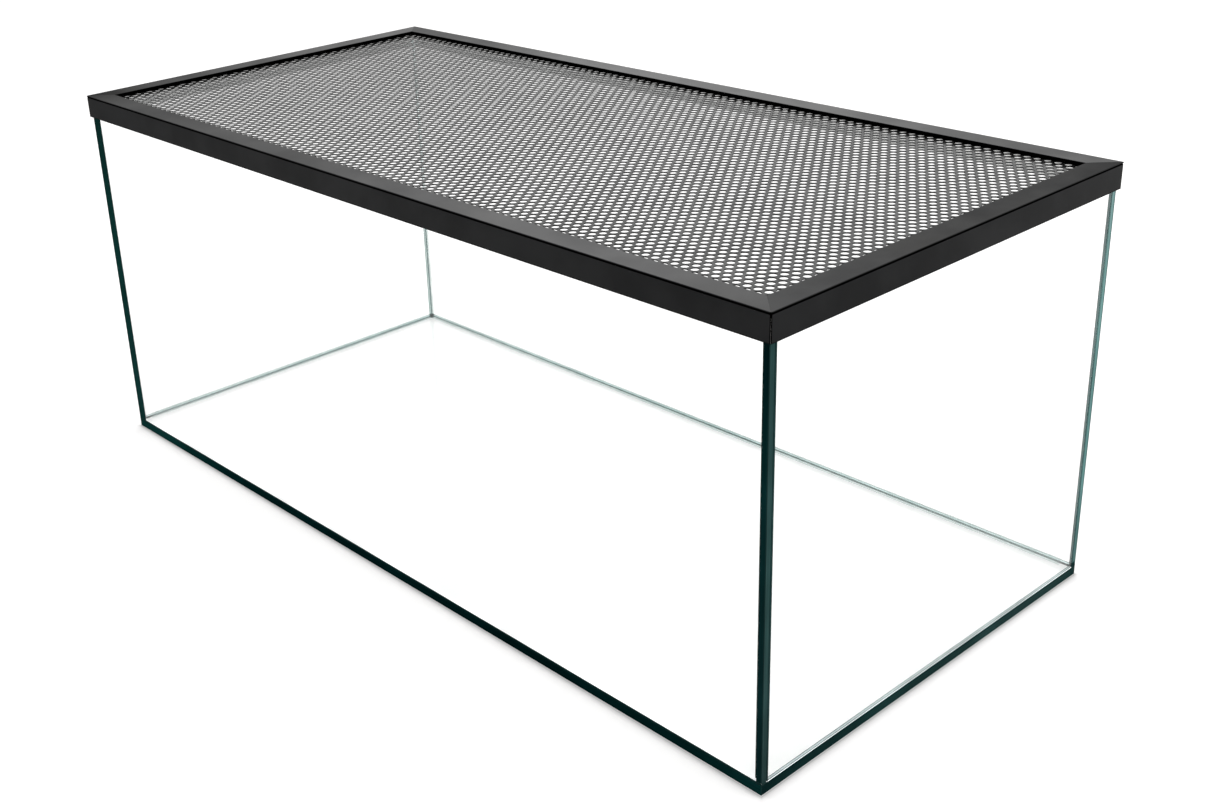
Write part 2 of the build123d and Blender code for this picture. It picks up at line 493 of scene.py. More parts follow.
@dataclass(frozen=True)
class ClearSilicone(Finish):
    """Clear-curing silicone, smoothed by finger: nearly invisible in front, and at the back and left a pale cyan haze
    that also paints the pale light along the feet of the walls.

    Its spans are places on the object, in metres, over which a mask comes up.
    """

    light: Colour = (0.55, 0.80, 0.76, 1.0)
    dark: Colour = (0.45, 0.70, 0.66, 1.0)
    # Dark and nearly opaque at the foot of the far corner.
    dark_corner_foot: Colour = (0.008, 0.034, 0.032, 1.0)
    dark_corner_share: float = 0.85
    dark_corner_spans: tuple[Span, ...] = ((-0.3882, -0.3892), (0.1782, 0.1792), (0.0122, 0.0112))
    haze_and_painted_light: float = 0.20
    faint: float = 0.012
    front: Span = (-0.172, -0.178)
    right: Span = (0.382, 0.388)
    upright: float = 1.15
    upright_foot: Span = (0.0130, 0.0150)
    fade: Span = (0.10, 0.16)
    faded: float = 0.07

    def lay(self, table: Surface) -> None:
        """Set a see-through shader, dark only at the foot of the far corner.

        Args:
            table: the material at work.
        """
        x, y, z = table.axes(table.place)
        clouds = table.grain(per_metre=70.0, detail=5.0)
        skin = table.grain(per_metre=320.0, detail=3.0)
        dark_corner_foot = table.window((x, y, z), self.dark_corner_spans)
        near = table.math("MAXIMUM", table.span(y, *self.front), table.span(x, *self.right))
        # The haze is partly painted light: pale cyan strips along the back and left feet.
        haze_and_painted_light = table.times(
            table.spread(near, self.haze_and_painted_light, self.faint), table.span(z, *self.fade, 1.0, self.faded),
            table.span(z, *self.upright_foot, 1.0, self.upright), table.spread(clouds, 0.8, 1.2),
        )
        table.shade({
            "Base Color": table.blend(dark_corner_foot, table.blend(clouds, self.light, self.dark), self.dark_corner_foot),
            "Alpha": table.math("MAXIMUM", haze_and_painted_light, table.times(dark_corner_foot, self.dark_corner_share)),
            "Roughness": table.spread(skin, 0.22, 0.38), "Specular IOR Level": 0.15,
            "Normal": table.bump(skin, 0.25, 0.15 * MM),
        })


@dataclass(frozen=True)
class PowderCoat(Finish):
    """Black powder coat with painted sheen, shade and light: gloss set in stops along each rail, higher on top; black
    in its joints and, as painted shade, in its groove, lower edge and inner walls; pale and glowing under the sheet.

    Its spans are places on the object, in metres, over which a mask comes up.
    """

    # Painted sheen: the coat's gloss runs in stops along the rail, on top and on the sides, to place its reflections.
    top_gloss: Stops
    side_gloss: Stops
    axis: int
    coat_ior: float
    black: Colour = (0.0115, 0.0118, 0.0122, 1.0)
    # Black of the joints, also painted as shade in the groove, at the lower edge and on the inner walls.
    joint_and_shade_black: Colour = (0.0004, 0.0004, 0.0004, 1.0)
    # Rubbed edges, also a painted highlight on the coat's edges.
    wear_and_highlight: Colour = (0.085, 0.086, 0.088, 1.0)
    dust: Colour = (0.20, 0.195, 0.185, 1.0)
    # Painted light: the rail's inside under the sheet is pale and glows, so that the holes over it look lit.
    painted_light_inside: Colour = (0.80, 0.80, 0.79, 1.0)
    inner_glow: float = 0.40
    # Painted shade: the groove, the skirt's lower edge and the inner walls are painted black or darker.
    groove: tuple[Span, ...] = ((0.33105, 0.33115), (0.33250, 0.33240))
    lower_edge: tuple[float, ...] = (0.31420, 0.31395, 0.0, 0.7)
    corner: tuple[Span, ...] = ((0.39885, 0.39915), (0.18885, 0.18915))
    inner_wall: tuple[Span, ...] = ((0.3840, 0.3825), (0.1740, 0.1725))
    underside: tuple[Span, ...] = ((0.3992, 0.3988), (0.1892, 0.1888), (0.32885, 0.32875))

    def shaded(self, table: Surface, parts: tuple[Socket, ...], side: Socket) -> Socket:
        """Find where the coat is black: the corner joints, and painted shade in the groove under the flange, along the
        skirt's lower edge and on the inner walls.

        Args:
            table: the material at work.
            parts: the distances from the middle along and across, and the height.
            side: 1 on the upright faces.

        Returns:
            The mask.
        """
        height = parts[2]
        line = table.window((height, height), self.groove)
        line = table.math("MAXIMUM", line, table.span(height, *self.lower_edge))
        walls = table.math("MAXIMUM", table.window(parts, self.corner), table.window(parts, self.inner_wall))
        return table.math("MAXIMUM", line, table.times(side, walls), clamp=True)

    def lay(self, table: Surface) -> None:
        """Set a coated shader, painted pale and glowing inside the rail under its sheet, so that the holes over it look
        lit.

        Args:
            table: the material at work.
        """
        place = table.axes(table.place)
        parts = (table.math("ABSOLUTE", place[0]), table.math("ABSOLUTE", place[1]), place[2])
        up = table.span(table.rise(), 0.3, 0.9)
        under = table.window(parts, self.underside)
        shaded = self.shaded(table, parts, table.math("SUBTRACT", 1.0, up))
        peel = table.grain(per_metre=1100.0, detail=2.0)
        cloud = table.grain(per_metre=26.0, detail=6.0)
        colour = table.blend(cloud, self.black, scaled(self.black, 1.35))
        # Bright edges: wear, and a painted highlight.
        colour = table.blend(table.worn_edge_and_highlight(reach=0.5 * MM, amount=0.10), colour, self.wear_and_highlight)
        colour = table.blend(table.settled_dust(amount=0.10), colour, self.dust)
        # Painted sheen: gloss in stops along the rail, higher on top.
        along = table.line(place[self.axis], *RAIL_REACH[self.axis])
        gloss = table.blend(up, table.ramp(along, self.side_gloss), table.ramp(along, self.top_gloss))
        gloss = table.times(gloss, table.spread(cloud, 0.92, 1.06))
        # Under the sheet: painted light; elsewhere black in the joints and as painted shade.
        table.shade({
            "Base Color": table.blend(under, table.blend(shaded, colour, self.joint_and_shade_black), self.painted_light_inside),
            "Emission Color": table.blend(under, grey(0.0), self.painted_light_inside), "Emission Strength": self.inner_glow,
            "Coat Weight": table.times(gloss, table.math("SUBTRACT", 1.0, shaded), clamp=True),
            "Coat Roughness": 0.34, "Coat IOR": self.coat_ior, "Specular IOR Level": 0.0,
            "Roughness": table.spread(peel, 0.5, 0.62), "Normal": table.bump(peel, 0.22, 0.08 * MM),
        })


@dataclass(frozen=True)
class SheetMetal(Finish):
    """Bare perforated sheet, rolled along its length and a little dulled."""

    bright: Colour = (0.140, 0.141, 0.140, 1.0)
    dull: Colour = (0.025, 0.026, 0.027, 1.0)
    edge_tint: Colour = grey(0.72)

    def lay(self, table: Surface) -> None:
        """Set a metal shader with rolling streaks and dull patches.

        Args:
            table: the material at work.
        """
        rolled = table.streaks((0.03, 1.0, 1.0), per_metre=900.0)
        patches = table.grain(per_metre=35.0, detail=6.0)
        dulled = table.times(table.math("ADD", rolled, patches), 0.5)
        table.shade({
            "Base Color": table.blend(dulled, self.bright, self.dull), "Metallic": 0.85,
            "Specular Tint": self.edge_tint, "Roughness": table.spread(rolled, 0.10, 0.20),
            "Normal": table.bump(rolled, 0.08, 0.05 * MM),
        })


@dataclass(frozen=True)
class PunchedWall(Finish):
    """The walls of the punched holes, torn, and painted nearly black as the shade in them."""

    # Painted shade: near black, as the hole walls lie in shade.
    colour: Colour = grey(0.003)
    sheared: Colour = grey(0.012)

    def lay(self, table: Surface) -> None:
        """Set a rough shader with lines down through the hole.

        Args:
            table: the material at work.
        """
        torn = table.streaks((1.0, 1.0, 0.1), per_metre=1500.0)
        table.shade({
            "Base Color": table.blend(torn, self.colour, self.sheared), "Roughness": table.spread(torn, 0.5, 0.8),
            "Specular IOR Level": 0.1, "Normal": table.bump(torn, 0.4, 0.1 * MM),
        })


@dataclass(frozen=True)
class SoftRubber(Finish):
    """Black foamed rubber of the strips that the lid rests on."""

    colour: Colour = (0.020, 0.020, 0.021, 1.0)

    def lay(self, table: Surface) -> None:
        """Set a matt shader with open cells and a pale bloom.

        Args:
            table: the material at work.
        """
        cells = table.grain(per_metre=1900.0, detail=4.0)
        bloom = table.grain(per_metre=40.0, detail=5.0)
        table.shade({
            "Base Color": table.blend(bloom, self.colour, scaled(self.colour, 1.9)),
            "Roughness": table.spread(cells, 0.7, 0.9), "Normal": table.bump(cells, 0.5, 0.15 * MM),
        })


@dataclass(frozen=True)
class PlainMetal(Finish):
    """Bare metal of the hidden hardware, with a fine grain and rubbed edges."""

    colour: Colour
    roughness: Span = (0.28, 0.44)

    def lay(self, table: Surface) -> None:
        """Set a metal shader, darker in patches and bright at its edges.

        Args:
            table: the material at work.
        """
        grain = table.grain(per_metre=1400.0, detail=4.0)
        colour = table.blend(table.grain(per_metre=120.0, detail=4.0), self.colour, scaled(self.colour, 0.66))
        edge = table.worn_edge_and_highlight(reach=0.3 * MM, amount=0.6)
        table.shade({
            "Base Color": table.blend(edge, colour, scaled(self.colour, 1.35)), "Metallic": 1.0,
            "Roughness": table.spread(grain, *self.roughness), "Normal": table.bump(grain, 0.2, 0.05 * MM),
        })


@dataclass
class Bench:
    """Operators on one mesh at a time, with faces and edges selected by place."""

    @staticmethod
    def take(piece: Piece) -> None:
        """Make a piece the only selected one.

        Args:
            piece: the piece to work on.
        """
        bpy.ops.object.select_all(action="DESELECT")
        piece.select_set(True)
        bpy.context.view_layer.objects.active = piece

    @staticmethod
    def settle(piece: Piece, name: str) -> Piece:
        """Put a piece's place into its mesh.

        Args:
            piece: the piece, moved or scaled.
            name: its name from now on.

        Returns:
            The same piece, at the origin.
        """
        Bench.take(piece)
        bpy.ops.object.transform_apply(location=True, rotation=True, scale=True)
        piece.name = piece.data.name = name
        return piece

    @staticmethod
    def block(name: str, low: Vector, high: Vector) -> Piece:
        """Add a box between two corners.

        Args:
            name: the piece's name.
            low: its lowest corner.
            high: its highest corner.

        Returns:
            The new piece.
        """
        bpy.ops.object.select_all(action="DESELECT")
        bpy.ops.mesh.primitive_cube_add(size=1.0, location=(low + high) / 2)
        piece = bpy.context.object
        piece.scale = high - low
        return Bench.settle(piece, name)

    @staticmethod
    @contextmanager
    def editing(piece: Piece, mode: str) -> Iterator[None]:
        """Work in edit mode on what is selected.

        Args:
            piece: the mesh to work on.
            mode: VERT, EDGE or FACE.

        Yields:
            Nothing; edit mode ends after the block.
        """
        Bench.take(piece)
        bpy.ops.object.mode_set(mode="EDIT")
        bpy.ops.mesh.select_mode(type=mode)
        yield
        bpy.ops.object.mode_set(mode="OBJECT")

    @staticmethod
    def pick_points(piece: Piece, rule: Callable[[Vector], bool]) -> None:
        """Select points, with the edges and faces between them.

        Args:
            piece: the mesh to work on.
            rule: which places to select.
        """
        mesh = piece.data
        for point in mesh.vertices:
            point.select = rule(point.co)
        for edge in mesh.edges:
            edge.select = all(mesh.vertices[i].select for i in edge.vertices)
        for face in mesh.polygons:
            face.select = all(mesh.vertices[i].select for i in face.vertices)

    @staticmethod
    def pick_faces(piece: Piece, rule: Callable[[bpy.types.MeshPolygon], bool]) -> None:
        """Select only faces.

        Args:
            piece: the mesh to work on.
            rule: which faces to select.
        """
        mesh = piece.data
        mesh.vertices.foreach_set("select", [False] * len(mesh.vertices))
        mesh.edges.foreach_set("select", [False] * len(mesh.edges))
        for face in mesh.polygons:
            face.select = rule(face)

    @staticmethod
    def widen(piece: Piece, rule: Callable[[Vector], bool], shift: Vector) -> None:
        """Extrude a piece's border.

        Args:
            piece: the mesh to work on.
            rule: which points the border's edges join.
            shift: how far they are pulled.
        """
        Bench.pick_points(piece, rule)
        with Bench.editing(piece, "EDGE"):
            bpy.ops.mesh.extrude_edges_move(TRANSFORM_OT_translate={"value": shift})

    @staticmethod
    def apply(piece: Piece, kind: str, **settings: object) -> None:
        """Add a modifier and apply it.

        Args:
            piece: the mesh to work on.
            kind: the modifier's type.
            settings: its options.
        """
        Bench.take(piece)
        modifier = piece.modifiers.new(kind.lower(), kind)
        for name, value in settings.items():
            setattr(modifier, name, value)
        bpy.ops.object.modifier_apply(modifier=modifier.name)

    @staticmethod
    def repeat(piece: Piece, count: int, step: tuple[float, float, float], **settings: object) -> None:
        """Repeat a piece in its own mesh, a step at a time."""
        Bench.apply(piece, "ARRAY", count=count, use_relative_offset=False, use_constant_offset=True,
                    constant_offset_displace=step, **settings)

    @staticmethod
    def copy(piece: Piece, name: str, shift: Vector) -> Piece:
        """Copy a piece with its own mesh to another place.

        Args:
            piece: the piece to copy.
            name: the copy's name.
            shift: how far the copy is moved.

        Returns:
            The copy.
        """
        twin = piece.copy()
        twin.data = piece.data.copy()
        bpy.context.scene.collection.objects.link(twin)
        twin.location = shift
        return Bench.settle(twin, name)


@dataclass
class TankFinishes:
    """The finishes of the panes' faces and edges and of the bonds between them; the edges and bonds are painted with
    light and shade.
    """

    effects: Effects

    def edge(self, name: str, stops: Stops, **settings: object) -> Material:
        """Build the finish of some narrow faces."""
        return EdgeGlass(name, stops, **settings).build(self.effects)

    def __post_init__(self) -> None:
        """Build each finish once."""
        self.clear = ClearGlass("clear_float_glass").build(self.effects)
        self.clear_base = ClearGlass("clear_base_glass", roughness=0.045).build(self.effects)
        self.arris = GroundArris("ground_arris").build(self.effects)
        # Painted light: the arrises at the feet glow, pale at the front and grey-teal at the other walls.
        self.foot_line = GroundArris("foot_arris", (0.12, 0.17, 0.17, 1.0), 0.05).build(self.effects)
        self.pale_foot_line = GroundArris("pale_foot_arris", (0.90, 0.93, 0.93, 1.0), 0.40).build(self.effects)
        # Painted light and shade: each glass edge's tone, and its change along the edge, follows how it looks in the
        # studio's light; edges that face the front are darker than those that face right, and the far upright grows
        # paler upwards.
        self.base_long = self.edge("base_edge_long", tints(
            (0.0, 0.0055, 0.0400, 0.0370), (0.10, 0.0030, 0.0300, 0.0280), (0.22, 0.0010, 0.0150, 0.0155),
            (0.75, 0.0007, 0.0095, 0.0100), (0.92, 0.0012, 0.0150, 0.0150), (1.0, 0.0035, 0.0300, 0.0290),
        ), axis=0)
        self.base_short = self.edge("base_edge_short", tints(
            (0.0, 0.0040, 0.0185, 0.0185), (0.25, 0.0085, 0.0300, 0.0295), (0.5, 0.0130, 0.0380, 0.0370),
            (0.8, 0.0240, 0.0560, 0.0540), (1.0, 0.0140, 0.0370, 0.0350),
        ), axis=1)
        self.joint_and_shade_black = self.edge("corner_joint_black", tints(
            (0.0, 0.0040, 0.0200, 0.0205), (0.4, 0.0035, 0.0195, 0.0200), (0.75, 0.0028, 0.0240, 0.0240),
            (0.92, 0.0010, 0.0100, 0.0110), (1.0, 0.0003, 0.0070, 0.0065),
        ))
        self.upright_near = self.edge("upright_edge_near", tints(
            (0.0, 0.0250, 0.0530, 0.0520), (0.3, 0.0290, 0.0680, 0.0660), (1.0, 0.0290, 0.0720, 0.0700),
        ))
        self.upright_left = self.edge("upright_edge_left", tints(
            (0.0, 0.0070, 0.0340, 0.0320), (0.6, 0.0044, 0.0300, 0.0265), (1.0, 0.0040, 0.0210, 0.0190),
        ))
        self.upright_far = self.edge("upright_edge_far", tints(
            (0.0, 0.006, 0.026, 0.025), (0.036, 0.006, 0.026, 0.025), (0.039, 0.100, 0.200, 0.192),
            (0.35, 0.150, 0.310, 0.300), (0.7, 0.200, 0.380, 0.365), (1.0, 0.270, 0.440, 0.430),
        ), outer=(0.075, 0.160, 0.150, 1.0))
        # Painted light: the left pane's back edge and the right floor bond's side are pale and glow.
        self.pale = self.edge("upright_edge_pale", plain(0.80, 0.88, 0.87), glow=0.30)
        self.bond_side = self.edge("bond_side", plain(0.66, 0.71, 0.71), axis=1, glow=1.0)
        # Painted light and shade: seen from inside the glass, the far corner is dark low down and pale and glowing
        # higher up.
        far_glow = 0.65
        painted_through_glass = tints(
            (0.0, 0.010, 0.034, 0.032), (0.36, 0.020, 0.055, 0.052), (0.46, 0.82, 0.86, 0.85), (1.0, 0.88, 0.90, 0.90),
        )
        self.far_inside = self.edge("far_corner_inside", painted_through_glass, glow=far_glow)
        self.far_corner = self.edge("far_corner_edge", tints(
            (0.0, 0.009, 0.038, 0.036), (0.4, 0.030, 0.083, 0.078), (1.0, 0.068, 0.150, 0.143),
        ), within=painted_through_glass, glow=far_glow)
        self.far_arris = self.edge("far_corner_arris", plain(0.82, 0.87, 0.86), within=painted_through_glass, glow=far_glow)
        self.bond_inside = self.edge("bond_inside", plain(0.010, 0.034, 0.032), axis=1)
        # Painted light and shade: the walls' foot faces, seen through the glass, are near white and glowing at the
        # front, grey-teal at the right and pale at the back and left.
        self.foot_front = self.edge("foot_front", plain(0.93, 0.95, 0.95), axis=0, glow=0.60)
        self.foot_right = self.edge("foot_right", plain(0.58, 0.67, 0.67), axis=1, glow=0.15)
        self.foot_far = self.edge("foot_far", plain(0.70, 0.82, 0.81), axis=0, glow=0.25)
        self.silicone = ClearSilicone("clear_silicone").build(self.effects)


@dataclass
class GlassTank:
    """Five panes with ground arrises, the bonds between them and the beads inside.

    A face is a flat one where its normal is past flat_normal, and a foot arris where it is below down_normal.
    """

    finishes: TankFinishes
    arris: float = 0.4 * MM
    bond_arris: float = 0.12 * MM
    hairline: float = 0.03 * MM
    squeezed: float = 2.4 * MM
    squeezed_far: float = 1.3 * MM
    # The front pane's outer face is painted dark over its end joints, 4.4 mm at the near end and 12 mm at the left,
    # wider than the joint there, and shows no reflection there.
    joint_near: float = 4.4 * MM
    joint_left: float = 12.0 * MM
    bead: float = 3.9 * MM
    bead_lip: float = 0.35 * MM
    bead_top: float = 0.3215
    flat_normal: float = 0.99
    down_normal: float = -0.3
    foot_from: float = 0.5 * MM
    far_post: Span = (-0.385, 0.175)

    def make_slab(self, name: str, low: Vector, high: Vector, arris: float, tones: dict[Edge, Material]) -> Piece:
        """Build a flat slab with all its edges ground.

        Args:
            name: the piece's name.
            low: its lowest corner.
            high: its highest corner.
            arris: the width of the ground edges.
            tones: the finish of each narrow face; what isn't named is clear.

        Returns:
            The slab.
        """
        slab = Bench.block(name, low, high)
        with Bench.editing(slab, "EDGE"):
            bpy.ops.mesh.select_all(action="SELECT")
            bpy.ops.mesh.bevel(offset=arris, offset_type="OFFSET", segments=1, affect="EDGES")
        for face in slab.data.polygons:
            if max(abs(part) for part in face.normal) > self.flat_normal:
                clear = self.finishes.clear_base if name == "pane_base" else self.finishes.clear
                finish = tones.get(Edge.of(face.normal), clear)
            else:
                finish = self.arris_tone(face, low.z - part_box("base_glass")[1].z, tones)
            face.material_index = self.slot_of(slab, finish)
        return slab

    def arris_tone(self, face: bpy.types.MeshPolygon, raised: float, tones: dict[Edge, Material]) -> Material:
        """Choose the finish of a ground edge: those at the feet and by the far corner are pale or grey and glow, as
        painted light.

        Args:
            face: the ground edge.
            raised: how high the slab stands above the base pane.
            tones: the finish of each narrow face.

        Returns:
            The finish.
        """
        f = self.finishes
        if face.center.x < self.far_post[0] and face.center.y > self.far_post[1] and raised > 0:
            return f.far_arris
        if face.normal.z < self.down_normal and Edge.FOOT in tones and raised > self.foot_from:
            return f.pale_foot_line if tones[Edge.FOOT] == f.foot_front else f.foot_line
        return f.arris

    @staticmethod
    def slot_of(piece: Piece, finish: Material) -> int:
        """Find the piece's slot for a finish, added if it is new there.

        Args:
            piece: the piece.
            finish: the finish.

        Returns:
            The slot's number.
        """
        if finish.name not in piece.data.materials:
            piece.data.materials.append(finish)
        return piece.data.materials.find(finish.name)

    def pane_tones(self) -> dict[str, dict[Edge, Material]]:
        """List the finish of every pane's narrow faces.

        Returns:
            The finishes of each pane, by side.
        """
        f = self.finishes
        ends = {
            "front": {Edge.LEFT: f.upright_left, Edge.RIGHT: f.upright_near, Edge.FOOT: f.foot_front},
            "back": {Edge.LEFT: f.far_corner, Edge.RIGHT: f.upright_far, Edge.FOOT: f.foot_far},
            "left": {Edge.FRONT: f.upright_left, Edge.BACK: f.pale, Edge.FOOT: f.foot_far},
            "right": {Edge.FRONT: f.joint_and_shade_black, Edge.BACK: f.upright_far, Edge.FOOT: f.foot_right},
        }
        base = {Edge.FRONT: f.base_long, Edge.BACK: f.base_long, Edge.LEFT: f.base_short, Edge.RIGHT: f.base_short}
        return {"base": base} | {side: tones | {Edge.RIM: f.upright_left} for side, tones in ends.items()}

    def make_pane(self, side: str, tones: dict[Edge, Material]) -> Piece:
        """Build one pane in the place of its node.

        Args:
            side: which pane.
            tones: the finishes of its narrow faces.

        Returns:
            The finished pane.
        """
        low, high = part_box(f"{side}_glass")
        if side == "base":
            high.z -= self.hairline
        else:
            gap = Vector((self.hairline,) * 3)
            low, high = low + gap, high - gap
        pane = self.make_slab(f"pane_{side}", low, high, self.arris, tones)
        if side == "front":
            self.mark_joints(pane)
        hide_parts(f"{side}_glass")
        return self.finish(pane, Slot.GLASS)

    @staticmethod
    def finish(piece: Piece, slot: Slot) -> Piece:
        """Let the piece ride on the tank."""
        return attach(piece, Body.TANK.value)

    def mark_joints(self, pane: Piece) -> None:
        """Part off the strips of an outer face at the front that lie over the two dark joints, and paint them with the
        joints' dark tones, so that the glass shows no reflection there.

        Args:
            pane: the front pane or the bond under it.
        """
        f = self.finishes
        end = max(point.co.x for point in pane.data.vertices)
        for place, finish in ((self.joint_left - end, f.upright_left), (end - self.joint_near, f.joint_and_shade_black)):
            with Bench.editing(pane, "FACE"):
                bpy.ops.mesh.select_all(action="SELECT")
                bpy.ops.mesh.bisect(plane_co=(place, 0.0, 0.0), plane_no=(1.0, 0.0, 0.0))
            for face in pane.data.polygons:
                x = face.center.x
                if face.normal.y < -self.flat_normal and x * place > 0 and abs(x) > abs(place):
                    face.material_index = self.slot_of(pane, finish)

    def make_floor_bond(self, side: str) -> Piece:
        """Build the bond under one wall.

        Args:
            side: which wall.

        Returns:
            The finished bond.
        """
        f = self.finishes
        low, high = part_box(f"{side}_glass")
        low.z, high.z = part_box("base_glass")[1].z + self.hairline, low.z - self.hairline
        # The faces that show take the edges' painted tones; the right one is the pale, glowing bond_side, painted
        # light.
        seen = {
            "front": {Edge.FRONT: f.base_long, Edge.LEFT: f.upright_left, Edge.RIGHT: f.upright_near},
            "right": {Edge.RIGHT: f.bond_side},
        }
        tones = {edge: f.bond_inside for edge in Edge} | seen.get(side, {})
        bond = self.make_slab(f"bond_floor_{side}", low, high, self.bond_arris, tones)
        if side == "front":
            self.mark_joints(bond)
        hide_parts(f"floor_seam_{side}")
        return self.finish(bond, Slot.SILICONE)

    def make_corner_bond(self, corner: str) -> Piece:
        """Build the bond up one corner; all but the back right one are squeezed out a little on the inside.

        Args:
            corner: which corner.

        Returns:
            The finished bond.
        """
        f = self.finishes
        along, across = corner.split("_")
        low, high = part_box(f"{across}_glass")
        wall_low, wall_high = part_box(f"{along}_glass")
        if along == "front":
            low.y, high.y = wall_high.y + self.hairline, low.y - self.hairline
        else:
            low.y, high.y = high.y + self.hairline, wall_low.y - self.hairline
        if across == "left":
            high.x += self.squeezed if along == "front" else self.squeezed_far
        elif along == "front":
            low.x -= self.squeezed
        # The back left bond takes the far corner's painted light and shade.
        seen = {
            "front_right": {Edge.FRONT: f.joint_and_shade_black, Edge.RIGHT: f.upright_near},
            "front_left": {Edge.FRONT: f.upright_left, Edge.LEFT: f.upright_left},
            "back_right": {Edge.RIGHT: f.upright_far, Edge.BACK: f.upright_far},
            "back_left": {edge: f.far_corner for edge in Edge} | {Edge.RIGHT: f.far_inside, Edge.FRONT: f.far_inside},
        }
        tones = {edge: f.bond_inside for edge in Edge} | seen[corner]
        bond = self.make_slab(f"bond_corner_{corner}", low, high, self.bond_arris, tones)
        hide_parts(f"corner_seam_{corner}")
        return self.finish(bond, Slot.SILICONE)

    def inside(self) -> tuple[Vector, Vector]:
        """Measure the room inside the panes.

        Returns:
            Its lowest and highest corners.
        """
        low = Vector((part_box("left_glass")[1].x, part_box("front_glass")[1].y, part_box("base_glass")[1].z))
        high = Vector((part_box("right_glass")[0].x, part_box("back_glass")[0].y, self.bead_top))
        gap = Vector((self.hairline, self.hairline, 0.0))
        return low + gap, high - gap

    def hollow_out(self, bead: Piece, rule: Callable[[Vector], bool]) -> None:
        """Round the free edge of a square bead hollow, as a finger does, and dress it.

        Args:
            bead: the square bead.
            rule: which points lie on its free edge.
        """
        Bench.pick_points(bead, rule)
        with Bench.editing(bead, "EDGE"):
            bpy.ops.mesh.bevel(offset=self.bead - self.bead_lip, offset_type="OFFSET", segments=5, profile=0.2,
                               affect="EDGES", clamp_overlap=False)
        bead.data.materials.append(self.finishes.silicone)

    def make_floor_bead(self, sides: tuple[str, ...]) -> Piece:
        """Build the hollow bead that runs round the floor in one piece.

        Args:
            sides: the walls that it runs along.

        Returns:
            The finished bead.
        """
        low, high = self.inside()
        middle, half = (low + high) / 2, self.bead / 2
        bpy.ops.object.select_all(action="DESELECT")
        bpy.ops.mesh.primitive_plane_add(size=1.0, location=(middle.x, middle.y, low.z + self.hairline))
        bead = bpy.context.object
        bead.scale = (high.x - low.x, high.y - low.y, 1.0)
        Bench.settle(bead, "bead_floor")
        with Bench.editing(bead, "FACE"):
            bpy.ops.mesh.select_all(action="SELECT")
            bpy.ops.mesh.inset(thickness=self.bead, use_even_offset=True)
            bpy.ops.mesh.delete(type="FACE")
            bpy.ops.mesh.select_all(action="SELECT")
            bpy.ops.mesh.extrude_region_move(TRANSFORM_OT_translate={"value": (0.0, 0.0, self.bead)})
            bpy.ops.mesh.select_all(action="SELECT")
            bpy.ops.mesh.normals_make_consistent(inside=False)
        self.hollow_out(bead, lambda place: place.z > low.z + half and abs(place.x) < high.x - half
                        and abs(place.y) < high.y - half)
        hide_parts(*(f"floor_seam_{side}" for side in sides))
        return self.finish(bead, Slot.SILICONE)

    def make_corner_bead(self, corner: str) -> Piece:
        """Build the hollow bead up one corner, standing on the bead of the floor.

        Args:
            corner: which corner.

        Returns:
            The finished bead.
        """
        low, high = self.inside()
        along, across = corner.split("_")
        low.z += self.bead
        if across == "left":
            high.x = low.x + self.bead
        else:
            low.x = high.x - self.bead
        if along == "front":
            high.y = low.y + self.bead
        else:
            low.y = high.y - self.bead
        bead = Bench.block(f"bead_corner_{corner}", low, high)
        free, half = (min(abs(low.x), abs(high.x)), min(abs(low.y), abs(high.y))), self.bead / 2
        self.hollow_out(bead, lambda place: all(abs(abs(place[i]) - free[i]) < half for i in range(2)))
        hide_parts(f"corner_seam_{corner}")
        return self.finish(bead, Slot.SILICONE)

    def build(self) -> list[Piece]:
        """Build the panes, bonds and beads.

        Returns:
            The finished pieces.
        """
        sides = ("front", "back", "left", "right")
        made = [self.make_pane(side, tones) for side, tones in self.pane_tones().items()]
        made += [self.make_floor_bond(side) for side in sides]
        made.append(self.make_floor_bead(sides))
        for corner in ("front_left", "front_right", "back_left", "back_right"):
            made += [self.make_corner_bond(corner), self.make_corner_bead(corner)]
        return made


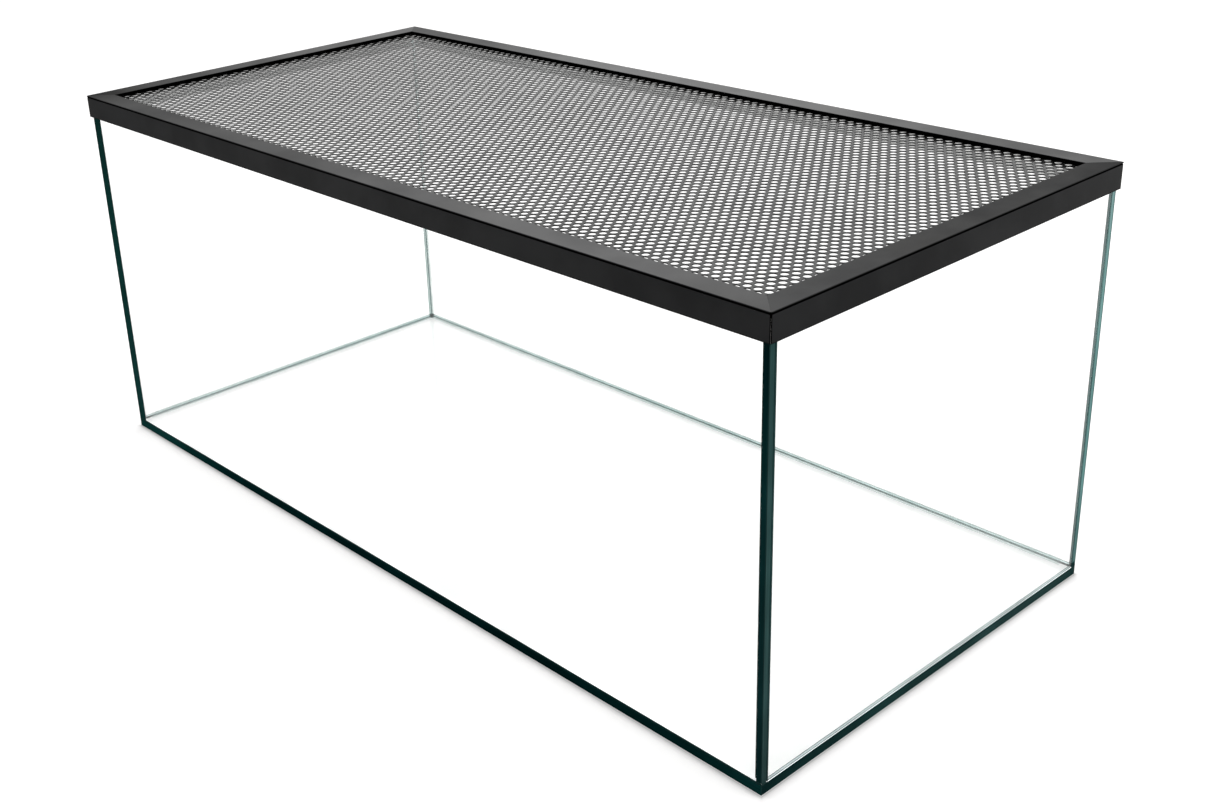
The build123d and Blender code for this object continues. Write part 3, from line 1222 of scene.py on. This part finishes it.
@dataclass
class PerforatedSheet:
    """The lid's sheet with every hole, in three strips that meet between two rows."""

    hole_diameter: float = 5.7 * MM
    hole_pitch: float = 8.2 * MM
    row_pitch: float = 5.8 * MM
    hole_sides: int = 12
    strips: int = 3
    slack: float = 0.1 * MM
    node: str = "perforated_sheet"

    def __post_init__(self) -> None:
        """Take the sheet's size from its node and count its holes."""
        self.low, self.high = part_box(self.node)
        size = self.high - self.low
        self.thickness = size.z
        self.along = int(size.x / self.hole_pitch)
        self.row_pairs = int(size.y / (2 * self.row_pitch * self.strips))
        self.half_length = self.along * self.hole_pitch / 2
        self.half_width = self.row_pairs * self.strips * self.row_pitch

    def make_cell(self) -> Piece:
        """Build one hole in its rectangle of sheet, at the origin.

        Returns:
            The cell.
        """
        bpy.ops.object.select_all(action="DESELECT")
        bpy.ops.mesh.primitive_grid_add(x_subdivisions=2, y_subdivisions=2, size=1.0)
        cell = bpy.context.object
        cell.scale = (self.hole_pitch, self.row_pitch, 1.0)
        Bench.settle(cell, "hole_cell")
        radius = self.hole_diameter / 2
        Bench.pick_points(cell, lambda place: place.length < self.slack)
        with Bench.editing(cell, "VERT"):
            bpy.ops.mesh.bevel(offset=radius, offset_type="OFFSET", segments=self.hole_sides // 4,
                               affect="VERTICES", profile=0.25)
        Bench.pick_faces(cell, lambda face: face.center.length < 0.75 * radius)
        with Bench.editing(cell, "FACE"):
            bpy.ops.mesh.delete(type="FACE")
        on_rim = 1.05 * radius
        ring = [point.co.length for point in cell.data.vertices if point.co.length < on_rim]
        Bench.pick_points(cell, lambda place: place.length < on_rim)
        with Bench.editing(cell, "VERT"):
            bpy.ops.transform.tosphere(value=1.0)
            growth = radius * len(ring) / sum(ring)
            bpy.ops.transform.resize(value=(growth, growth, 1.0), center_override=(0.0, 0.0, 0.0))
        return cell

    def make_row(self, cell: Piece, count: int, centre_y: float, name: str) -> Piece:
        """Repeat the cell into one row along the sheet.

        Args:
            cell: one hole.
            count: how many holes the row has.
            centre_y: where the row lies across the sheet.
            name: the row's name.

        Returns:
            The row.
        """
        row = Bench.copy(cell, name, Vector((-(count - 1) * self.hole_pitch / 2, centre_y, self.high.z)))
        Bench.repeat(row, count, (self.hole_pitch, 0.0, 0.0), use_merge_vertices=True, merge_threshold=0.01 * MM)
        if count < self.along:
            self.reach_out(row, 0, count * self.hole_pitch / 2, self.half_length)
        return row

    def reach_out(self, piece: Piece, axis: int, end: float, edge: float, signs: tuple[int, ...] = (-1, 1)) -> None:
        """Widen a piece at its ends with plain sheet.

        Args:
            piece: the mesh to work on.
            axis: 0 along the sheet, 1 across it.
            end: where the piece ends now.
            edge: where it is to end.
            signs: which of its two ends.
        """
        for sign in signs:
            shift = Vector((0.0, 0.0, 0.0))
            shift[axis] = sign * (edge - end)
            Bench.widen(piece, lambda place, s=sign: s * place[axis] > end - self.slack, shift)

    def build(self, effects: Effects) -> list[Piece]:
        """Build the strips and give them their finishes.

        Args:
            effects: the shared effects.

        Returns:
            The strips, from front to back.
        """
        cell = self.make_cell()
        first = -self.half_width + self.row_pitch / 2
        strip = self.make_row(cell, self.along, first, "row_full")
        shifted = self.make_row(cell, self.along - 1, first + self.row_pitch, "row_shifted")
        bpy.data.objects.remove(cell)
        Bench.take(strip)
        shifted.select_set(True)
        bpy.ops.object.join()
        Bench.repeat(strip, self.row_pairs, (0.0, 2 * self.row_pitch, 0.0))
        with Bench.editing(strip, "VERT"):
            bpy.ops.mesh.select_all(action="SELECT")
            bpy.ops.mesh.remove_doubles(threshold=0.02 * MM)
            bpy.ops.mesh.normals_make_consistent(inside=False)
        if strip.data.polygons[0].normal.z < 0:
            strip.data.flip_normals()
        self.reach_out(strip, 0, self.half_length, self.high.x)
        finishes = [SheetMetal("perforated_metal").build(effects), PunchedWall("punched_hole_wall").build(effects)]
        step = Vector((0.0, 2 * self.row_pairs * self.row_pitch, 0.0))
        made = [strip] + [Bench.copy(strip, f"sheet_strip_{i}", i * step) for i in range(1, self.strips)]
        self.reach_out(made[0], 1, self.half_width, self.high.y, (-1,))
        self.reach_out(made[-1], 1, self.half_width, self.high.y, (1,))
        for i, piece in enumerate(made):
            piece.name = piece.data.name = f"sheet_strip_{i}"
            for finish in finishes:
                piece.data.materials.append(finish)
            Bench.apply(piece, "SOLIDIFY", thickness=self.thickness, offset=-1.0, use_rim=True, material_offset_rim=1)
            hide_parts(self.node)
            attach(piece, Body.LID.value)
        return made


@dataclass
class LidHardware:
    """The rails, strips, keys and screws, which keep the frame's own shapes.

    A rail's row holds its gloss on top and on its side, in stops that paint its sheen along it, the axis it runs along
    and its coat's index.
    """

    rails: dict[str, tuple[Stops, Stops, int, float]] = field(default_factory=lambda: {
        "front": (
            greys((0.0, 0.08), (0.09, 0.31), (0.3, 0.49), (0.45, 0.48), (0.56, 0.68), (0.75, 0.86), (0.9, 1.0),
                  (1.0, 0.62)),
            greys((0.0, 0.10), (0.5, 0.15), (1.0, 0.10)), 0, 1.5,
        ),
        "back": (
            greys((0.0, 0.50), (0.11, 0.50), (0.2, 0.58), (0.28, 0.86), (0.37, 1.0), (0.55, 1.0), (0.63, 0.84),
                  (0.8, 0.80), (0.9, 0.56), (1.0, 0.68)),
            greys((0.0, 0.10), (1.0, 0.10)), 0, 1.6,
        ),
        "left": (
            greys((0.0, 0.0), (0.06, 0.03), (0.14, 0.24), (0.27, 0.33), (0.38, 0.43), (0.5, 0.48), (0.6, 0.58),
                  (0.72, 0.63), (0.83, 0.74), (1.0, 0.75)),
            greys((0.0, 0.10), (1.0, 0.10)), 1, 1.5,
        ),
        "right": (
            greys((0.0, 0.50), (0.2, 0.44), (0.4, 0.25), (0.55, 0.25), (0.7, 0.28), (0.85, 0.22), (1.0, 0.15)),
            greys((0.0, 0.09), (0.5, 0.135), (1.0, 0.20)), 1, 1.5,
        ),
    })

    def dress(self, effects: Effects) -> list[str]:
        """Give each node its finish.

        Args:
            effects: the shared effects.

        Returns:
            The names of the dressed nodes.
        """
        finishes = {f"lid_rail_{side}": PowderCoat(f"powder_coat_{side}", *row) for side, row in self.rails.items()}
        finishes |= {
            "rest_strip": SoftRubber("foamed_rubber"),
            "corner_key": PlainMetal("milled_aluminium", (0.55, 0.56, 0.57, 1.0)),
            "corner_screws": PlainMetal("zinc_plated_steel", (0.50, 0.51, 0.50, 1.0), (0.20, 0.34)),
        }
        materials = {start: finish.build(effects) for start, finish in finishes.items()}
        dressed = []
        for name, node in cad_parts.items():
            for start, material in materials.items():
                if name.startswith(start):
                    node.material_slots[0].material = material
                    dressed.append(name)
        return dressed


@dataclass(frozen=True)
class Lamp:
    """A soft square lamp that points at the middle of the tank."""

    name: str
    place: tuple[float, float, float]
    size: float
    watts: float
    aim: tuple[float, float, float] = (0.0, 0.0, 0.16)

    def hang(self) -> None:
        """Hang the lamp in its place."""
        bpy.ops.object.select_all(action="DESELECT")
        bpy.ops.object.light_add(type="AREA", location=self.place)
        lamp = bpy.context.object
        lamp.name = self.name
        lamp.rotation_euler = (Vector(self.aim) - Vector(self.place)).to_track_quat("-Z", "Y").to_euler()
        lamp.data.shape = "RECTANGLE"
        lamp.data.size = lamp.data.size_y = self.size
        lamp.data.energy = self.watts


@dataclass
class Studio:
    """White floor and surroundings, soft lamps, and the camera at the photograph's angle."""

    eye: tuple[float, float, float] = (0.9107, -0.8131, 0.6538)
    turn: tuple[float, float, float] = (66.8572, 2.5699, 48.1741)
    lens: float = 46.187
    shift: Span = (0.07, -0.04)
    floor_size: float = 24.0
    floor_gap: float = 0.3 * MM
    floor_colour: Colour = (0.780, 0.773, 0.770, 1.0)
    floor_glow: Colour = (0.370, 0.368, 0.368, 1.0)
    # Painted light: inside the tank's footprint the floor glows brighter, most within 18 mm of its edge, lifting the
    # shade of the lid and the base.
    room_glow: float = 1.40
    border_glow: float = 1.90
    border: Span = (-18 * MM, -2 * MM)
    outline: Span = (-1 * MM, 1 * MM)
    # Painted shadow: the floor darkens within 10 mm outside the tank's footprint.
    painted_contact_shadow: Stops = greys((0.0, 0.46), (0.08, 0.63), (0.14, 0.77), (0.25, 0.86), (0.38, 0.94), (0.5, 0.98), (0.7, 1.0))
    contact_reach: float = 10 * MM
    ambient: float = 0.80
    lamps: tuple[Lamp, ...] = (
        Lamp("lamp_above", (-0.3, 0.4, 2.4), 2.0, 28.0), Lamp("lamp_right", (2.2, 0.9, 1.1), 1.4, 10.0),
    )

    @staticmethod
    def seen(table: NodeTable) -> Socket:
        """Find what the camera sees, straight, in gloss or through glass.

        Args:
            table: the nodes of the floor or the world.

        Returns:
            1 for those rays.
        """
        path = table.add("ShaderNodeLightPath")
        some = table.math("MAXIMUM", path.outputs["Is Camera Ray"], path.outputs["Is Glossy Ray"])
        return table.math("MAXIMUM", some, path.outputs["Is Transmission Ray"])

    def build_world(self) -> None:
        """Light the object evenly and show white behind it."""
        world = bpy.data.worlds.new("studio_surround")
        world.use_nodes = True
        bpy.context.scene.world = world
        table = NodeTable(world.node_tree)
        ground = world.node_tree.nodes["Background"]
        ground.inputs["Color"].default_value = grey(1.0)
        table.feed(ground.inputs["Strength"], table.spread(self.seen(table), self.ambient, 1.0))

    def build_floor(self) -> None:
        """Lay a white floor that keeps the object's shadow, with a painted contact shadow round the tank's footprint
        and painted light inside it.
        """
        bpy.ops.object.select_all(action="DESELECT")
        bpy.ops.mesh.primitive_plane_add(size=self.floor_size, location=(0.0, 0.0, -self.floor_gap))
        floor = Bench.settle(bpy.context.object, "studio_floor")
        material = bpy.data.materials.new("studio_floor")
        material.use_nodes = True
        table = NodeTable(material.node_tree)
        material.node_tree.nodes.remove(material.node_tree.nodes["Principled BSDF"])
        place, high = table.axes(table.on_object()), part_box("base_glass")[1]
        past = (table.math("SUBTRACT", table.math("ABSOLUTE", place[i]), high[i]) for i in range(2))
        out = table.math("MAXIMUM", *past)
        # Painted light: a brighter glow inside the footprint.
        border = table.span(out, *self.border, self.room_glow, self.border_glow)
        room = table.times(border, table.span(out, *self.outline, 1.0, 1.0 / self.border_glow))
        # Painted contact shadow on the floor's colour and glow.
        painted_contact_shadow = table.ramp(table.math("DIVIDE", out, self.contact_reach, clamp=True), self.painted_contact_shadow)
        shade = table.blend(table.span(out, self.outline[0], 0.0), grey(1.0), painted_contact_shadow)
        matt, glow = (table.product(colour[:3], shade) for colour in (self.floor_colour, self.floor_glow))
        body = table.add("ShaderNodeBsdfDiffuse", {"Color": matt})
        light = table.add("ShaderNodeEmission", {"Color": glow, "Strength": table.times(self.seen(table), room)})
        both = table.add("ShaderNodeAddShader", {0: body.outputs[0], 1: light.outputs[0]})
        table.feed(material.node_tree.nodes["Material Output"].inputs["Surface"], both.outputs[0])
        floor.data.materials.append(material)

    def place_camera(self) -> None:
        """Set the camera where the photograph was taken from."""
        bpy.ops.object.select_all(action="DESELECT")
        bpy.ops.object.camera_add(location=self.eye, rotation=tuple(math.radians(a) for a in self.turn))
        camera = bpy.context.object
        camera.name = "camera"
        camera.data.sensor_width = 36.0
        camera.data.lens = self.lens
        camera.data.shift_x, camera.data.shift_y = self.shift
        camera.data.clip_start = 0.01
        bpy.context.scene.camera = camera

    def build(self) -> None:
        """Set up the whole studio."""
        bpy.context.scene.view_settings.view_transform = "Standard"
        self.build_world()
        self.build_floor()
        for lamp in self.lamps:
            lamp.hang()
        self.place_camera()


def main() -> None:
    """Build the studio, the tank and the lid, and note the sizes."""
    logging.basicConfig(level=logging.INFO, format="%(name)s: %(message)s")
    Studio().build()
    effects = Effects()
    for piece in GlassTank(TankFinishes(effects)).build() + PerforatedSheet().build(effects):
        LOG.info("%s: %d faces", piece.name, len(piece.data.polygons))
    LOG.info("dressed: %s", ", ".join(LidHardware().dress(effects)))


if __name__ == "__main__":
    main()
